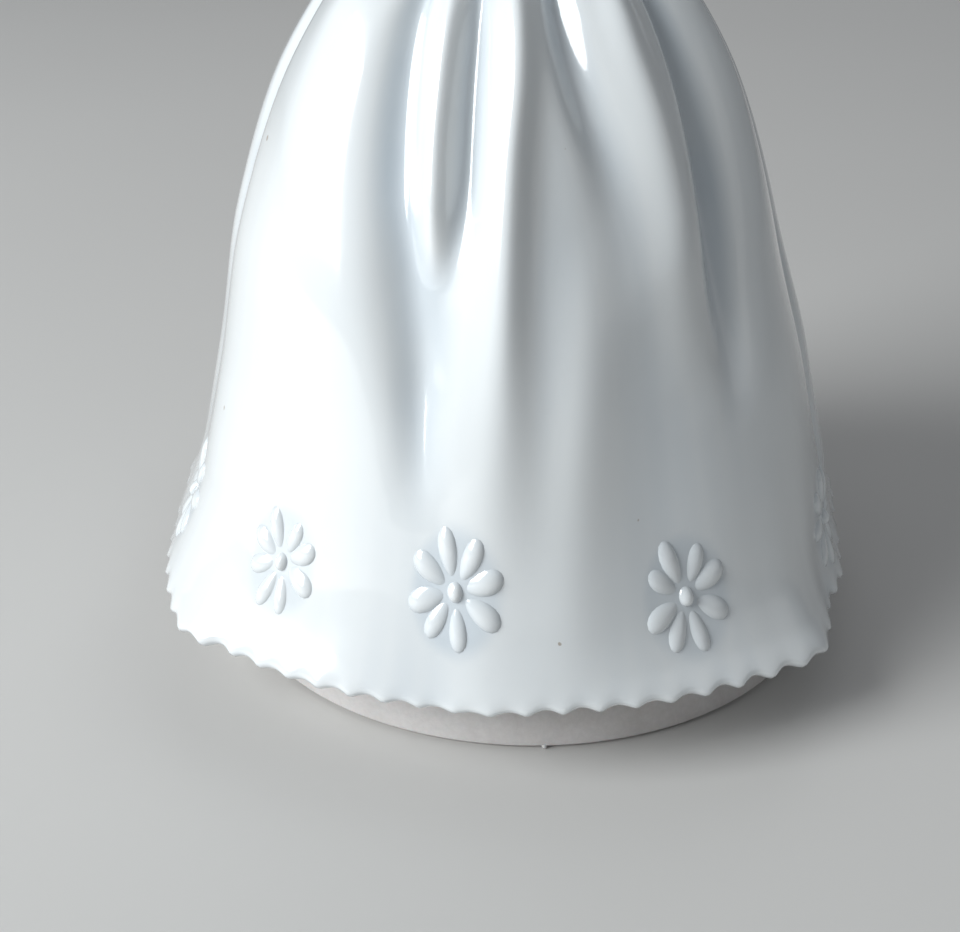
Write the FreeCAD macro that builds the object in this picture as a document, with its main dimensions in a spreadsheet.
import FreeCAD, Part
import math
import os
import Sketcher
from FreeCAD import Placement, Rotation, Vector

# Porcelain figure bell: a lady whose long gathered skirt is the bell.
# Millimetres, +Z up, origin on the table under the bell's axis, the lady facing -Y.
# The cup, the dress and the figure's pieces are cast or pressed one by one and luted
# together with slip, so they meet face to face. The clapper is fitted after the last firing.

X_AXIS = Vector(1, 0, 0)
Y_AXIS = Vector(0, 1, 0)
Z_AXIS = Vector(0, 0, 1)

doc = FreeCAD.newDocument("PorcelainBell")
sheet = doc.addObject("Spreadsheet::Sheet", "Sheet")

# ---------------------------------------------------------------- driving dimensions

DIMENSIONS = (
    # bell cup
    ("foot_radius", 32.6), ("mouth_radius", 30.2), ("foot_chamfer", 0.5),
    ("seat_height", 12.2), ("cup_wall", 2.0), ("flank_radius", 117.5),
    ("crown_radius", 19.5), ("crown_centre", 51.5), ("shoulder_angle", 62.0),
    # skirt
    ("gather_count", 12), ("lobe_count", 8), ("recess_radius", 35.4), ("recess_taper", 1.0),
    # daisies
    ("petal_count", 8), ("petal_thickness", 1.1), ("eye_radius", 0.95), ("skirt_slope", 15.0),
    ("daisy_bite", 0.1),
    # clapper and its hanger
    ("strap_bottom", 60.0), ("strap_thickness", 2.6), ("strap_width", 5.6),
    ("stem_radius", 0.9), ("stem_clearance", 0.08), ("head_radius", 1.9), ("head_height", 1.1),
    ("end_play", 0.15), ("hook_ring_radius", 2.6), ("ring_wire_radius", 0.6),
    ("ring_drop", 0.4), ("eye_ring_radius", 1.6), ("wire_radius", 0.7),
    ("bead_radius", 7.0), ("bead_height", 17.0), ("bead_flat", 6.6), ("bead_clearance", 0.06),
    ("stop_radius", 1.6), ("stop_height", 1.2), ("collar_height", 2.2), ("collar_radius", 1.3),
    # head, hair and hat
    ("head_width", 6.6), ("head_depth", 7.6), ("head_rise", 8.8), ("head_height_z", 120.6),
    ("neck_radius", 3.3), ("neck_top", 116.0), ("hair_width", 7.5), ("hair_depth", 8.2),
    ("hair_rise", 9.0), ("bun_radius", 4.3), ("brim_radius", 18.0), ("brim_droop", 1.8),
    ("brim_thickness", 1.0), ("hat_crown_radius", 9.4), ("hat_crown_height", 10.6),
    ("ribbon_thickness", 0.8), ("ribbon_height", 2.8), ("hat_tilt", 12.0),
    # sleeves, arms and posy
    ("sleeve_radius", 5.5),
    ("upper_arm_radius", 2.5), ("elbow_radius", 2.2), ("wrist_radius", 1.6), ("palm_radius", 1.8),
    ("posy_stem_radius", 1.5), ("posy_stem_length", 9.0),
    ("posy_width", 5.2), ("posy_depth", 4.6), ("posy_rise", 4.2),
    # sash bow
    ("knot_radius", 1.9), ("loop_radius", 2.9), ("tail_angle", 11.0),
)

# Rings of the gathered skirt: height, mean radius, depth of the gathers, depth of the lobes.
SKIRT_RINGS = (
    (8.2, 38.0, 0.2, 0.9),
    (14.0, 35.4, 0.3, 0.7),
    (24.0, 32.8, 0.6, 0.4),
    (36.0, 29.9, 1.0, 0.2),
    (48.0, 26.7, 1.4, 0.0),
    (58.0, 23.1, 1.7, 0.0),
    (66.0, 18.4, 1.9, 0.0),
    (72.5, 11.6, 1.2, 0.0),
    (77.0, 8.2, 0.5, 0.0),
)

# Oval rings of the upper body: height, half width, half depth, shift towards the back.
SASH_RINGS = ((77.0, 8.8, 7.9, 0.0), (78.8, 9.1, 8.1, 0.0), (80.6, 8.5, 7.4, 0.0))
BODICE_RINGS = (
    (80.6, 8.2, 7.0, 0.0),
    (87.0, 9.3, 7.8, -0.3),
    (94.0, 11.3, 9.0, -0.8),
    (98.0, 12.0, 9.2, -1.0),
    (102.0, 12.3, 7.8, -0.3),
    (105.0, 10.0, 6.2, 0.2),
    (107.0, 4.6, 4.4, 0.4),
)
COLLAR_RINGS = (
    (97.5, 14.2, 10.7, -0.8),
    (101.0, 13.9, 9.5, -0.4),
    (104.5, 11.4, 7.4, 0.2),
    (106.6, 5.9, 5.5, 0.4),
)

# Hand-placed daisies round the hem: azimuth from the front towards +X, height, width, length.
DAISIES = (
    (-7.5, 18.8, 9.4, 12.6),
    (29.0, 16.4, 9.0, 11.8),
    (67.0, 15.6, 9.2, 11.6),
    (104.0, 17.2, 9.0, 12.0),
    (140.0, 16.6, 9.4, 12.2),
    (177.0, 17.8, 9.2, 12.4),
    (213.0, 16.4, 9.0, 11.8),
    (249.0, 17.4, 9.4, 12.2),
    (285.0, 16.2, 9.0, 11.6),
    (321.5, 17.8, 8.6, 11.4),
)

SHOULDER = Vector(-15.2, 0.6, 92.0)
ELBOW = Vector(-17.0, 2.0, 80.5)
WRIST = Vector(-5.2, -12.6, 84.0)
PALM = Vector(-1.9, -15.0, 85.4)
SLEEVE_CENTRE = Vector(-14.2, 0.4, 96.0)
POSY_FOOT = Vector(0, -15.4, 78.5)
POSY_CENTRE = Vector(0, -16.0, 90.0)
HEAD_SHIFT = -0.6
NECK_SHIFT = 0.6
HAIR_SHIFT = 1.0
HAIR_LIFT = 0.8
HAIRLINE_Y = -3.2
HAIRLINE_Z = 126.4
BUN_CENTRE = Vector(0, 9.8, 118.4)
HAT_CENTRE = Vector(0, 1.2, 124.9)
KNOT_CENTRE = Vector(0, 10.05, 78.95)
LOOP_CENTRE = Vector(4.3, 11.3, 80.3)

# Points round the skirt for each gather.
POINTS_PER_GATHER = 6

# Outline of one sash tail: radius and height along its inner face, then its thickness.
TAIL_PATH = ((10.7, 78.2), (14.8, 74.8), (19.8, 69.2), (23.4, 62.6), (25.8, 56.0))
TAIL_THICKNESS = 0.9
TAIL_AZIMUTH = 14.0


def fill_sheet():
    """Put every driving dimension in a named cell of its own."""
    rows = list(DIMENSIONS)
    for index, (height, radius, gather, lobe) in enumerate(SKIRT_RINGS):
        rows += [(f"skirt_z_{index}", height), (f"skirt_mean_{index}", radius)]
        rows += [(f"skirt_gather_{index}", gather), (f"skirt_lobe_{index}", lobe)]
    ovals = (("sash", SASH_RINGS), ("bodice", BODICE_RINGS), ("collar", COLLAR_RINGS))
    for piece, rings in ovals:
        for index, (height, width, depth, shift) in enumerate(rings):
            rows += [(f"{piece}_z_{index}", height), (f"{piece}_width_{index}", width)]
            rows += [(f"{piece}_depth_{index}", depth), (f"{piece}_shift_{index}", shift)]
    for index, (azimuth, height, width, length) in enumerate(DAISIES):
        rows += [(f"daisy_azimuth_{index}", azimuth), (f"daisy_z_{index}", height)]
        rows += [(f"daisy_width_{index}", width), (f"daisy_length_{index}", length)]
    for row, (alias, value) in enumerate(rows, start=1):
        sheet.set(f"A{row}", alias.replace("_", " "))
        sheet.set(f"B{row}", str(value))
        sheet.setAlias(f"B{row}", alias)
    doc.recompute()


def size(alias):
    """The value of a named cell."""
    return float(sheet.get(alias))


def bind(piece, **expressions):
    """Drive a piece's properties from the sheet."""
    for name, expression in expressions.items():
        piece.setExpression(name, expression)
    return piece


def named(kind, label):
    piece = doc.addObject(kind, label)
    piece.Label = label
    return piece


def turned(label, corners, angle=360):
    """A body turned about +Z. Each corner is a pair of expressions for radius and height,
    and a third one is the radius of the bulging arc that leads to the next corner."""
    body = named("PartDesign::Body", label)
    plane = next(item for item in body.Origin.OriginFeatures if item.Role == "XZ_Plane")
    sketch = body.newObject("Sketcher::SketchObject", label + "_profile")
    sketch.AttachmentSupport = (plane, [""])
    sketch.MapMode = "FlatFace"
    values = [tuple(float(sheet.evalExpression(item)) for item in corner) for corner in corners]
    points = [Vector(item[0], item[1], 0) for item in values]
    for index, start in enumerate(points):
        end = points[(index + 1) % len(points)]
        if len(corners[index]) == 3:
            chord = end - start
            radius = values[index][2]
            rise = radius - math.sqrt(radius ** 2 - (chord.Length / 2) ** 2)
            outward = Vector(chord.y, -chord.x, 0).normalize()
            middle = (start + end) * 0.5 + outward * rise
            sketch.addGeometry(Part.Arc(start, middle, end), False)
        else:
            sketch.addGeometry(Part.LineSegment(start, end), False)

    def vertex(edge, point):
        near_start = sketch.Geometry[edge].StartPoint.distanceToPoint(point) < 1e-6
        return 1 if near_start else 2

    for index, point in enumerate(points):
        here = (index, vertex(index, point))
        before = (index - 1) % len(points)
        link = Sketcher.Constraint("Coincident", before, vertex(before, point), *here)
        sketch.addConstraint(link)
        for way, value, word in (("DistanceX", point.x, "radius"), ("DistanceY", point.y, "height")):
            row = sketch.addConstraint(Sketcher.Constraint(way, -1, 1, *here, value))
            sketch.renameConstraint(row, f"{word}_{index}")
            expression = corners[index][0 if word == "radius" else 1]
            sketch.setExpression(f"Constraints.{word}_{index}", expression)
        if len(corners[index]) == 3:
            row = sketch.addConstraint(Sketcher.Constraint("Radius", index, values[index][2]))
            sketch.renameConstraint(row, f"arc_{index}")
            sketch.setExpression(f"Constraints.arc_{index}", corners[index][2])
    solid = body.newObject("PartDesign::Revolution", label + "_turned")
    solid.Profile = sketch
    solid.ReferenceAxis = (sketch, ["V_Axis"])
    solid.Angle = angle
    sketch.Visibility = False
    return body


def cut(label, base, *tools):
    """The base less its neighbours, so that luted pieces meet face to face."""
    piece = named("Part::Cut", label)
    piece.Base = base
    piece.Tool = tools[0] if len(tools) == 1 else joined(label + "_neighbours", *tools)
    return piece


def joined(label, *pieces):
    piece = named("Part::MultiFuse", label)
    piece.Shapes = list(pieces)
    return piece


def mirrored(label, source):
    """The same piece on the other side of the figure."""
    piece = named("Part::Mirroring", label)
    piece.Source = source
    piece.Normal = X_AXIS
    return piece


def oval_loft(label, key, rings):
    """A solid through horizontal ovals."""
    ovals = []
    for index in range(len(rings)):
        oval = named("Part::Ellipse", f"{label}_oval_{index}")
        bind(oval, MajorRadius=f"Sheet.{key}_width_{index}", MinorRadius=f"Sheet.{key}_depth_{index}")
        oval.setExpression("Placement.Base.y", f"Sheet.{key}_shift_{index}")
        oval.setExpression("Placement.Base.z", f"Sheet.{key}_z_{index}")
        ovals.append(oval)
    solid = named("Part::Loft", label)
    solid.Sections = ovals
    solid.Solid = True
    solid.Ruled = False
    return solid


def ellipsoid(label, centre, width, depth, rise):
    """An ellipsoid whose three half sizes are cells of the sheet."""
    piece = named("Part::Ellipsoid", label)
    bind(piece, Radius2=f"Sheet.{width}", Radius3=f"Sheet.{depth}", Radius1=f"Sheet.{rise}")
    piece.Placement.Base = centre
    return piece


def ball(label, centre, radius):
    """A sphere whose radius is a cell of the sheet."""
    piece = named("Part::Sphere", label)
    bind(piece, Radius=f"Sheet.{radius}")
    piece.Placement.Base = centre
    return piece


def limb_run(label, start, end, start_radius, end_radius):
    """A tapered run between two joints of a limb."""
    run = named("Part::Cone", label)
    bind(run, Radius1=f"Sheet.{start_radius}", Radius2=f"Sheet.{end_radius}")
    run.Height = (end - start).Length
    run.Placement = Placement(start, Rotation(Z_AXIS, end - start))
    return run


# ---------------------------------------------------------------- bell cup

def cup_corners(inset):
    """Flank and crown of the cup, moved in by an expression for the wall."""
    crown = f"(Sheet.crown_radius - {inset})"
    flank = f"(Sheet.flank_radius - {inset})"
    sine = "sin(Sheet.shoulder_angle * 1deg)"
    cosine = "cos(Sheet.shoulder_angle * 1deg)"
    reach = "(Sheet.crown_radius - Sheet.flank_radius)"
    flank_x = f"({reach} * {sine})"
    flank_z = f"(Sheet.crown_centre + {reach} * {cosine})"
    seat_x = f"{flank_x} + sqrt({flank}^2 - (Sheet.seat_height - {flank_z})^2)"
    return (
        (seat_x, "Sheet.seat_height", flank),
        (f"{crown} * {sine}", f"Sheet.crown_centre + {crown} * {cosine}", crown),
        ("0", f"Sheet.crown_centre + {crown}"),
    )


def make_cup():
    """Outer form and inner form of the cup, and the cup that is left between them."""
    outer = turned("cup_form", (
        ("0", "0"),
        ("Sheet.foot_radius - Sheet.foot_chamfer", "0"),
        ("Sheet.foot_radius", "Sheet.foot_chamfer"),
        ("Sheet.foot_radius", "Sheet.seat_height"),
    ) + cup_corners("0"))
    inner = turned("cavity_form", (
        ("0", "-1"),
        ("Sheet.mouth_radius + Sheet.foot_chamfer", "-1"),
        ("Sheet.mouth_radius + Sheet.foot_chamfer", "0"),
        ("Sheet.mouth_radius", "Sheet.foot_chamfer"),
    ) + cup_corners("Sheet.cup_wall"))
    return outer, inner, cut("bell_cup", outer, inner)


# ---------------------------------------------------------------- dress

def skirt_wire(index):
    """One ring of the skirt: gathers in step with the waist, lobes in step with the hem."""
    height = size(f"skirt_z_{index}")
    steps = int(size("gather_count")) * POINTS_PER_GATHER
    points = []
    for step in range(steps):
        angle = 2 * math.pi * step / steps
        radius = ring_radius(index, angle)
        points.append(Vector(radius * math.sin(angle), -radius * math.cos(angle), height))
    curve = Part.BSplineCurve()
    knots = [step / steps for step in range(steps + 1)]
    curve.interpolate(Points=points, PeriodicFlag=True, Parameters=knots)
    ring = named("Part::Feature", f"skirt_ring_{index}")
    ring.Shape = Part.Wire([curve.toShape()])
    return ring


def make_skirt(cup_form):
    """The gathered skirt over the cup, with a recess that lets its hem hang free."""
    form = named("Part::Loft", "skirt_form")
    form.Sections = [skirt_wire(index) for index in range(len(SKIRT_RINGS))]
    form.Solid = True
    form.Ruled = False
    recess = turned("hem_recess", (
        ("Sheet.foot_radius - 1", "Sheet.skirt_z_0 - 2"),
        ("Sheet.recess_radius", "Sheet.skirt_z_0 - 2"),
        ("Sheet.recess_radius - Sheet.recess_taper", "Sheet.seat_height"),
        ("Sheet.foot_radius - 1", "Sheet.seat_height"),
    ))
    return cut("dress_skirt", form, cup_form, recess)


def ring_radius(index, angle):
    """Radius of one skirt ring at an angle from the front, in radians."""
    radius = size(f"skirt_mean_{index}")
    radius += size(f"skirt_gather_{index}") * math.cos(size("gather_count") * angle)
    return radius + size(f"skirt_lobe_{index}") * math.cos(size("lobe_count") * angle)


def skirt_radius(height, angle):
    """Radius of the skirt at a height, straight between its rings."""
    low = max(index for index in range(len(SKIRT_RINGS) - 1) if size(f"skirt_z_{index}") <= height)
    floor = size(f"skirt_z_{low}")
    share = (height - floor) / (size(f"skirt_z_{low + 1}") - floor)
    return ring_radius(low, angle) * (1 - share) + ring_radius(low + 1, angle) * share


def make_daisy(index):
    """Puffy petals round a small eye, pressed into the soft skirt near its hem."""
    label = f"daisy_{index + 1}"
    width = size(f"daisy_width_{index}")
    length = size(f"daisy_length_{index}")
    height = size(f"daisy_z_{index}")
    azimuth = math.radians(size(f"daisy_azimuth_{index}"))
    radius = skirt_radius(height, azimuth)
    count = int(size("petal_count"))
    pieces = []
    for petal in range(count):
        angle = 2 * math.pi * (petal + 0.5) / count
        reach = math.hypot(width * math.sin(angle), length * math.cos(angle)) / 2
        middle = 0.56 * reach
        leaf = named("Part::Ellipsoid", f"{label}_petal_{petal}")
        leaf.Radius1 = 0.44 * reach
        leaf.Radius2 = 0.0625 * (width + length)
        leaf.setExpression("Radius3", "Sheet.petal_thickness")
        lean = math.degrees(math.atan2(width * math.sin(angle), length * math.cos(angle)))
        turn = Rotation(Y_AXIS, lean)
        leaf.Placement = Placement(turn.multVec(Z_AXIS) * middle, turn)
        pieces.append(leaf)
    pieces.append(ball(f"{label}_eye", Vector(), "eye_radius"))
    flower = joined(f"{label}_form", *pieces)
    on_skirt = Placement(Vector(0, -radius, height), Rotation(X_AXIS, -size("skirt_slope")))
    turn = Placement(Vector(), Rotation(Z_AXIS, math.degrees(azimuth)))
    flower.Placement = turn * on_skirt
    taper = math.tan(math.radians(size("skirt_slope")))
    back = named("Part::Cone", f"{label}_back")
    back.Radius1 = radius - size("daisy_bite") + taper * length
    back.Radius2 = radius - size("daisy_bite") - taper * length
    back.Height = 2 * length
    back.Placement.Base = Vector(0, 0, height - length)
    return cut(label, flower, back)


# ---------------------------------------------------------------- upper body

def make_torso():
    sash = oval_loft("waist_sash", "sash", SASH_RINGS)
    bodice = oval_loft("bodice", "bodice", BODICE_RINGS)
    collar = cut("bertha_collar", oval_loft("collar_form", "collar", COLLAR_RINGS), bodice)
    return [sash, bodice, collar]


def make_arms(bodice, collar):
    """A puffed sleeve and a bent arm on each side, and the posy that the hands hold."""
    puff = ball("sleeve_form", SLEEVE_CENTRE, "sleeve_radius")
    left_sleeve = cut("left_sleeve", puff, bodice, collar)
    runs = (
        ("left_upper_arm", SHOULDER, ELBOW, "upper_arm_radius", "elbow_radius"),
        ("left_forearm", ELBOW, WRIST, "elbow_radius", "wrist_radius"),
        ("left_palm", WRIST, PALM, "wrist_radius", "palm_radius"),
    )
    pieces = [limb_run(*run) for run in runs]
    knuckles = ((ELBOW, "elbow_radius"), (WRIST, "wrist_radius"), (PALM, "palm_radius"))
    for index, (centre, radius) in enumerate(knuckles):
        pieces.append(ball(f"left_joint_{index}", centre, radius))
    left_arm = cut("left_arm", joined("left_arm_form", *pieces), left_sleeve, bodice)
    right_sleeve = mirrored("right_sleeve", left_sleeve)
    right_arm = mirrored("right_arm", left_arm)
    stems = named("Part::Cone", "posy_stems")
    bind(stems, Radius1="Sheet.posy_stem_radius", Radius2="Sheet.posy_stem_radius * 1.6",
         Height="Sheet.posy_stem_length")
    stems.Placement.Base = POSY_FOOT
    bloom = ellipsoid("posy_bloom", POSY_CENTRE, "posy_width", "posy_depth", "posy_rise")
    posy = cut("posy", joined("posy_form", stems, bloom), left_arm, right_arm)
    return [left_sleeve, right_sleeve, left_arm, right_arm, posy]


def make_head():
    """Neck and head, the hair behind and above them, and the coiled bun."""
    skull = ellipsoid("skull", Vector(0, HEAD_SHIFT, size("head_height_z")),
                      "head_width", "head_depth", "head_rise")
    neck_foot = size(f"bodice_z_{len(BODICE_RINGS) - 1}")
    neck = named("Part::Cylinder", "neck")
    bind(neck, Radius="Sheet.neck_radius", Height=f"Sheet.neck_top - {neck_foot}")
    neck.Placement.Base = Vector(0, NECK_SHIFT, neck_foot)
    head = joined("head", skull, neck)
    cap = ellipsoid("hair_cap", Vector(0, HAIR_SHIFT, size("head_height_z") + HAIR_LIFT),
                    "hair_width", "hair_depth", "hair_rise")
    face = named("Part::Box", "face_window")
    bind(face, Length="3 * Sheet.hair_width", Width="2 * Sheet.hair_depth", Height="3 * Sheet.hair_rise")
    corner_z = HAIRLINE_Z - 3 * size("hair_rise")
    face.Placement.Base = Vector(-1.5 * size("hair_width"), HAIRLINE_Y - 2 * size("hair_depth"), corner_z)
    hair = cut("hair", cap, head, face)
    coil = ball("bun_form", BUN_CENTRE, "bun_radius")
    bun = cut("hair_bun", cut("bun_clear_of_hair", coil, cap), skull)
    return [head, hair, bun], (skull, cap, coil)


def make_hat(head_forms):
    """A wide sun hat tipped back from the face, with a ribbon round its crown."""
    seat = Placement(HAT_CENTRE, Rotation(X_AXIS, -size("hat_tilt")))
    form = turned("hat_form", (
        ("0", "0"),
        ("Sheet.brim_radius", "-Sheet.brim_droop"),
        ("Sheet.brim_radius", "Sheet.brim_thickness - Sheet.brim_droop"),
        ("Sheet.hat_crown_radius", "Sheet.brim_thickness"),
        ("Sheet.hat_crown_radius - 0.8", "0.66 * Sheet.hat_crown_height",
         "0.5 * Sheet.hat_crown_radius"),
        ("0.45 * Sheet.hat_crown_radius", "Sheet.hat_crown_height"),
        ("0", "Sheet.hat_crown_height"),
    ))
    form.Placement = seat
    skull, cap, coil = head_forms
    hat = cut("sun_hat", cut("hat_clear_of_hair", cut("hat_clear_of_bun", form, coil), cap), skull)
    band = turned("ribbon_form", (
        ("Sheet.hat_crown_radius - 2", "Sheet.brim_thickness"),
        ("Sheet.hat_crown_radius + Sheet.ribbon_thickness", "Sheet.brim_thickness"),
        ("Sheet.hat_crown_radius + 0.75 * Sheet.ribbon_thickness",
         "Sheet.brim_thickness + Sheet.ribbon_height"),
        ("Sheet.hat_crown_radius - 2", "Sheet.brim_thickness + Sheet.ribbon_height"),
    ))
    band.Placement = seat
    return [hat, cut("hat_ribbon", band, form)]


def make_bow():
    """The knot and two loops of the sash at the back, and a tail on each side."""
    pieces = [ball("bow_knot", KNOT_CENTRE, "knot_radius")]
    for side in (-1, 1):
        centre = Vector(side * LOOP_CENTRE.x, LOOP_CENTRE.y, LOOP_CENTRE.z)
        pieces.append(ball(f"bow_loop_{side + 1}", centre, "loop_radius"))
    bow = joined("sash_bow", *pieces)
    inner = [(str(radius), str(height)) for radius, height in TAIL_PATH]
    outer = []
    for index, (radius, height) in enumerate(TAIL_PATH):
        before = TAIL_PATH[max(index - 1, 0)]
        after = TAIL_PATH[min(index + 1, len(TAIL_PATH) - 1)]
        along = Vector(after[0] - before[0], after[1] - before[1], 0).normalize()
        outer.append((str(radius - along.y * TAIL_THICKNESS), str(height + along.x * TAIL_THICKNESS)))
    tails = []
    for label, side in (("left_sash_tail", -1), ("right_sash_tail", 1)):
        form = turned(label + "_form", inner + outer[::-1], size("tail_angle"))
        middle = size("tail_angle") / 2
        form.Placement.Rotation = Rotation(Z_AXIS, 90 - side * TAIL_AZIMUTH - middle)
        tails.append(cut(label, form, bow))
    return [bow] + tails


# ---------------------------------------------------------------- clapper

def make_clapper(cavity_form):
    """Strap across the crown, hook that turns in it, and the wire and bead of the clapper."""
    bar = named("Part::Box", "strap_bar")
    bind(bar, Length="Sheet.strap_width", Width="2 * Sheet.crown_radius", Height="Sheet.strap_thickness")
    corner = (-size("strap_width") / 2, -size("crown_radius"), size("strap_bottom"))
    bar.Placement.Base = Vector(*corner)
    fitted = named("Part::Common", "strap_fitted")
    fitted.Base = bar
    fitted.Tool = cavity_form
    hole = named("Part::Cylinder", "strap_hole")
    bind(hole, Radius="Sheet.stem_radius + Sheet.stem_clearance", Height="2 * Sheet.strap_thickness")
    hole.Placement.Base = Vector(0, 0, size("strap_bottom") - size("strap_thickness") / 2)
    strap = cut("hanger_strap", fitted, hole)

    across = Rotation(Y_AXIS, 90)
    along = Rotation(X_AXIS, 90)
    ring_z = size("strap_bottom") - size("ring_drop") - size("hook_ring_radius") - size("ring_wire_radius")
    strap_top = size("strap_bottom") + size("strap_thickness")
    ring = named("Part::Torus", "hook_ring")
    bind(ring, Radius1="Sheet.hook_ring_radius", Radius2="Sheet.ring_wire_radius")
    ring.Placement = Placement(Vector(0, 0, ring_z), across)
    stem_foot = ring_z + size("hook_ring_radius")
    stem = named("Part::Cylinder", "hook_stem")
    bind(stem, Radius="Sheet.stem_radius")
    stem.Height = strap_top + size("end_play") + size("head_height") / 2 - stem_foot
    stem.Placement.Base = Vector(0, 0, stem_foot)
    button = named("Part::Cone", "hook_head")
    bind(button, Radius1="Sheet.head_radius", Radius2="0.6 * Sheet.head_radius", Height="Sheet.head_height")
    button.Placement.Base = Vector(0, 0, strap_top + size("end_play"))
    hook = joined("swivel_hook", ring, stem, button)

    pivot_z = ring_z - size("hook_ring_radius")
    eye = named("Part::Torus", "wire_eye")
    bind(eye, Radius1="Sheet.eye_ring_radius", Radius2="Sheet.ring_wire_radius")
    eye.Placement = Placement(Vector(0, 0, pivot_z), along)
    bead_z = size("bead_height")
    flat = size("bead_flat")
    stop_foot = bead_z - flat - size("end_play") - size("stop_height")
    rod = named("Part::Cylinder", "wire_rod")
    bind(rod, Radius="Sheet.wire_radius")
    rod.Height = pivot_z - size("eye_ring_radius") - stop_foot
    rod.Placement.Base = Vector(0, 0, stop_foot)
    stop = named("Part::Cylinder", "wire_stop")
    bind(stop, Radius="Sheet.stop_radius", Height="Sheet.stop_height")
    stop.Placement.Base = Vector(0, 0, stop_foot)
    collar = named("Part::Cylinder", "wire_collar")
    bind(collar, Radius="Sheet.collar_radius", Height="Sheet.collar_height")
    collar.Placement.Base = Vector(0, 0, bead_z + flat + size("end_play"))
    wire = joined("clapper_wire", eye, rod, stop, collar)

    bore = "Sheet.wire_radius + Sheet.bead_clearance"
    rim = "sqrt(Sheet.bead_radius^2 - Sheet.bead_flat^2)"
    bead = turned("clapper_bead", (
        (bore, "-Sheet.bead_flat"),
        (rim, "-Sheet.bead_flat", "Sheet.bead_radius"),
        (rim, "Sheet.bead_flat"),
        (bore, "Sheet.bead_flat"),
    ))
    bead.Placement.Base = Vector(0, 0, bead_z)
    print("clapper pivot height", round(pivot_z, 3))
    return [strap, hook, wire, bead]


# ---------------------------------------------------------------- assembly

fill_sheet()
cup_form, cavity_form, cup = make_cup()
skirt = make_skirt(cup_form)
nodes = [cup, skirt]
nodes += [make_daisy(index) for index in range(len(DAISIES))]
torso = make_torso()
nodes += torso
nodes += make_arms(torso[1], torso[2])
head_pieces, head_forms = make_head()
nodes += head_pieces
nodes += make_hat(head_forms)
nodes += make_bow()
nodes += make_clapper(cavity_form)
doc.recompute()

for piece in doc.Objects:
    if "Invalid" in piece.State or "Error" in piece.State:
        raise RuntimeError(f"{piece.Label} did not build: {piece.State}")
for piece in nodes:
    if piece.Shape.isNull() or not piece.Shape.isValid() or not piece.Shape.Solids:
        raise RuntimeError(f"{piece.Label} has no valid solid")

os.makedirs("parts", exist_ok=True)
for piece in nodes:
    piece.Shape.exportStep(f"parts/{piece.Label}.step")
    box = piece.Shape.BoundBox
    print(f"{piece.Label:16s} {piece.Shape.Volume:9.1f} mm3  solids {len(piece.Shape.Solids)}"
          f"  z {box.ZMin:6.2f} to {box.ZMax:6.2f}")
